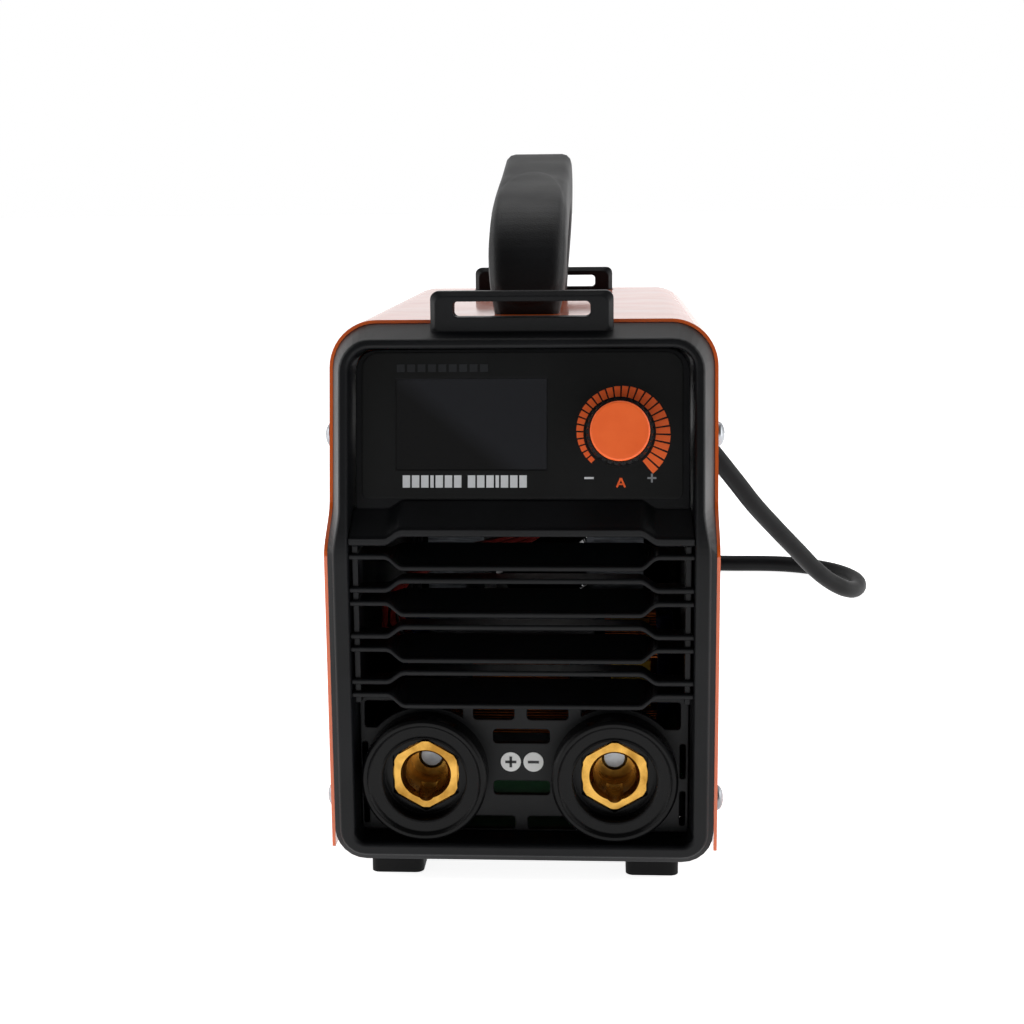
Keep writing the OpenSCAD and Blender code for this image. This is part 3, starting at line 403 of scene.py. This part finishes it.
def rubber(name, dark, light, low=0.5, high=0.68, specular=0.35):
    """Matt rubber with a fine grain."""
    s = Shader(name, dark, low, specular=specular)
    s.rough_from(s.noise(60, 5), low, high)
    s.colour_from(s.noise(45, 6), dark, light)
    s.bump_from(s.noise(1500, 2), 0.1, 0.0003)
    return s.mat


def gloss(name, dark, light, low=0.18, high=0.32, grain=800):
    """Smooth coloured plastic."""
    s = Shader(name, dark, low)
    s.rough_from(s.noise(50, 4), low, high)
    s.colour_from(s.noise(70, 5), dark, light)
    s.bump_from(s.noise(grain, 2), 0.05, 0.0003)
    return s.mat


def circuit_board():
    """Green solder mask with tracks and pads."""
    s = Shader("board_green", "#1a4f2c", 0.3)
    brick = s.add("ShaderNodeTexBrick")
    s.link(s.coords, brick.inputs["Vector"])
    brick.inputs["Scale"].default_value = 160
    brick.inputs["Mortar Size"].default_value = 0.04
    brick.inputs["Color1"].default_value = rgb("#1c5a31")
    brick.inputs["Color2"].default_value = rgb("#174826")
    brick.inputs["Mortar"].default_value = rgb("#2f7a45")
    s.link(brick.outputs["Color"], s.bsdf.inputs["Base Color"])
    return s.mat


def display_glass():
    """Dark display window: wiped streaks, and a painted reflection, a lighter tone towards the upper right.
    """
    s = Shader("display_gloss", "#08090b", 0.06)
    streaks = s.noise(26, 6, (1.0, 1.0, 0.35))
    s.rough_from(streaks, 0.05, 0.16)
    # Painted reflection: the window's colour lightens towards the upper right.
    s.colour_from(s.slope((0.62, 0, 0.78), 0.088, 0.102), "#070708", "#1c1d21", 0.3, 0.7)
    s.bump_from(s.noise(340, 2, (0.25, 1.0, 1.0)), 0.03, 0.0002)
    return s.coat(0.5, 0.03).mat


def wound_copper():
    """Copper wire in even turns."""
    s = Shader("copper_bare", "#a85a28", 0.3, metal=1.0)
    wave = s.add("ShaderNodeTexWave", bands_direction="Z")
    wave.inputs["Scale"].default_value = 330
    wave.inputs["Distortion"].default_value = 0.4
    s.link(s.coords, wave.inputs["Vector"])
    s.colour_from(wave.outputs["Fac"], "#7a3a16", "#c9713a", 0.1, 0.9)
    s.bump_from(wave.outputs["Fac"], 0.5, 0.0006)
    return s.mat


MATERIALS = {
    "shell_plastic": moulded("shell_plastic", "#090a0c", "#0e0f12", 0.34, 0.46, specular=0.22),
    "label_black": moulded("label_black", "#050606", "#090a0b", 0.38, 0.52, grain=1500, bump=0.05),
    "display_gloss": display_glass(),
    "knob_black": moulded("knob_black", "#0a0b0c", "#101113", 0.34, 0.46),
    "orange_plastic": gloss("orange_plastic", "#f4601c", "#ff6c28", 0.4, 0.52, 1400),
    "orange_paint": paint("orange_paint", "#f0650f", "#e45c0a"),
    "tray_paint": paint("tray_paint", "#3d3f43", "#323438"),
    "handle_plastic": moulded("handle_plastic", "#0c0c0e", "#111215", 0.42, 0.56, grain=1900, bump=0.25,
                              edge=0.0025, specular=0.26),
    "socket_black": moulded("socket_black", "#030304", "#070708", 0.18, 0.3, bump=0.05, specular=0.16),
    "contact_brass": metal("contact_brass", "#a07430", "#dcab55", 0.2, 0.34),
    "copper_bare": wound_copper(),
    "zinc_steel": metal("zinc_steel", "#8b8e92", "#b9bcc0", 0.26, 0.42),
    "guard_chrome": metal("guard_chrome", "#b4b7ba", "#d6d8da", 0.1, 0.2),
    "white_plastic": gloss("white_plastic", "#dededc", "#f0f0ee", 0.4, 0.5),
    "foot_rubber": rubber("foot_rubber", "#0b0b0c", "#121213", 0.6, 0.8, 0.2),
    "cord_rubber": rubber("cord_rubber", "#060607", "#0b0b0d", 0.42, 0.56, 0.14),
    "tie_plastic": gloss("tie_plastic", "#26282b", "#303236"),
    "fan_plastic": moulded("fan_plastic", "#101113", "#17181a", 0.34, 0.46),
    "switch_plastic": gloss("switch_plastic", "#101114", "#17181b"),
    "board_green": circuit_board(),
    # Aluminium, darkened as painted shade for the dim inside of the case.
    "sink_aluminium": metal("sink_aluminium", "#4c4e52", "#686b70", 0.36, 0.5, (1, 1, 14)),
    "part_black": moulded("part_black", "#141517", "#1c1d1f", 0.5, 0.65),
    "capacitor_blue": gloss("capacitor_blue", "#1f285f", "#2a347c", 0.25, 0.35),
    "ferrite": moulded("ferrite", "#2d2d30", "#3c3c40", 0.5, 0.7, grain=900, bump=0.3),
    "choke_yellow": moulded("choke_yellow", "#b8952a", "#cfac38", 0.45, 0.6),
    "relay_blue": gloss("relay_blue", "#203f75", "#28508f"),
    # Red insulation, darkened as painted shade for the dim inside of the case.
    "wire_red": gloss("wire_red", "#5c1411", "#741a15", 0.35, 0.45),
    "ink_light": gloss("ink_light", "#c9cbce", "#dadcde", 0.4, 0.5),
    "ink_grey": gloss("ink_grey", "#77797c", "#8a8c90", 0.4, 0.5),
    "ink_dark": gloss("ink_dark", "#16171a", "#1d1f22", 0.3, 0.4),
    "ink_black": gloss("ink_black", "#1a1b1d", "#242528", 0.4, 0.5),
    "wire_black": gloss("wire_black", "#18191b", "#222326", 0.35, 0.45),
}


def paint_piece(piece, slot):
    piece.data.materials.clear()
    piece.data.materials.append(MATERIALS[slot])


for entry in frame["record"]["subparts"]:
    paint_piece(nodes[entry["node"]], entry["material_slot"])
paint_piece(lead, "cord_rubber")
for key, piece in marks.items():
    paint_piece(piece, INKS[key])

# ---------- stage and light ----------


FLOOR_REACH = 25
FLOOR_GLOW = 0.9
WHITE = (1, 1, 1, 1)


def area_light(name, place, aim, size, power):
    data = bpy.data.lights.new(name, "AREA")
    data.shape = "RECTANGLE"
    data.size, data.size_y = size
    data.energy = power
    lamp = bpy.data.objects.new(name, data)
    lamp.location = place
    lamp.rotation_euler = (Vector(aim) - Vector(place)).to_track_quat("-Z", "Y").to_euler()
    bpy.context.scene.collection.objects.link(lamp)


def add_floor():
    mesh = bpy.data.meshes.new("floor")
    work = bmesh.new()
    bmesh.ops.create_grid(work, x_segments=1, y_segments=1, size=FLOOR_REACH)
    work.to_mesh(mesh)
    work.free()
    floor = bpy.data.objects.new("floor", mesh)
    bpy.context.scene.collection.objects.link(floor)
    s = Shader("floor_white", "#f6f6f6", 0.8, specular=0.2)
    s.bsdf.inputs["Emission Color"].default_value = WHITE
    s.bsdf.inputs["Emission Strength"].default_value = FLOOR_GLOW
    mesh.materials.append(s.mat)


def fade(tree, value, start, end, low, high):
    """Eases from low to high as the value goes from start to end."""
    node = tree.nodes.new("ShaderNodeMapRange")
    node.interpolation_type = "SMOOTHSTEP"
    for key, number in (("From Min", start), ("From Max", end), ("To Min", low), ("To Max", high)):
        node.inputs[key].default_value = number
    tree.links.new(value, node.inputs["Value"])
    return node.outputs["Result"]


def add_studio():
    """A white studio, dim in front of the object and overhead."""
    world = bpy.data.worlds.new("studio")
    world.use_nodes = True
    tree = world.node_tree
    split = tree.nodes.new("ShaderNodeSeparateXYZ")
    tree.links.new(tree.nodes.new("ShaderNodeTexCoord").outputs["Generated"], split.inputs[0])
    both = tree.nodes.new("ShaderNodeMath")
    both.operation = "MULTIPLY"
    tree.links.new(fade(tree, split.outputs["Y"], -0.85, 0.1, 0.13, 1.0), both.inputs[0])
    tree.links.new(fade(tree, split.outputs["Z"], 0.2, 0.75, 1.0, 0.2), both.inputs[1])
    background = tree.nodes["Background"]
    background.inputs["Color"].default_value = WHITE
    tree.links.new(both.outputs[0], background.inputs["Strength"])
    bpy.context.scene.world = world
    bpy.context.scene.view_settings.view_transform = "Standard"


add_floor()
add_studio()
SIDE_AIM, SIDE_SIZE = (0, 0.05, 0.1), (0.6, 1.2)
area_light("left_box", (-1.0, 0.05, 0.45), SIDE_AIM, SIDE_SIZE, 4.5)
area_light("right_box", (1.0, 0.05, 0.45), SIDE_AIM, SIDE_SIZE, 5)
area_light("top_box", (0, 0.5, 1.2), (0, 0, 0.1), (1.0, 0.8), 4)
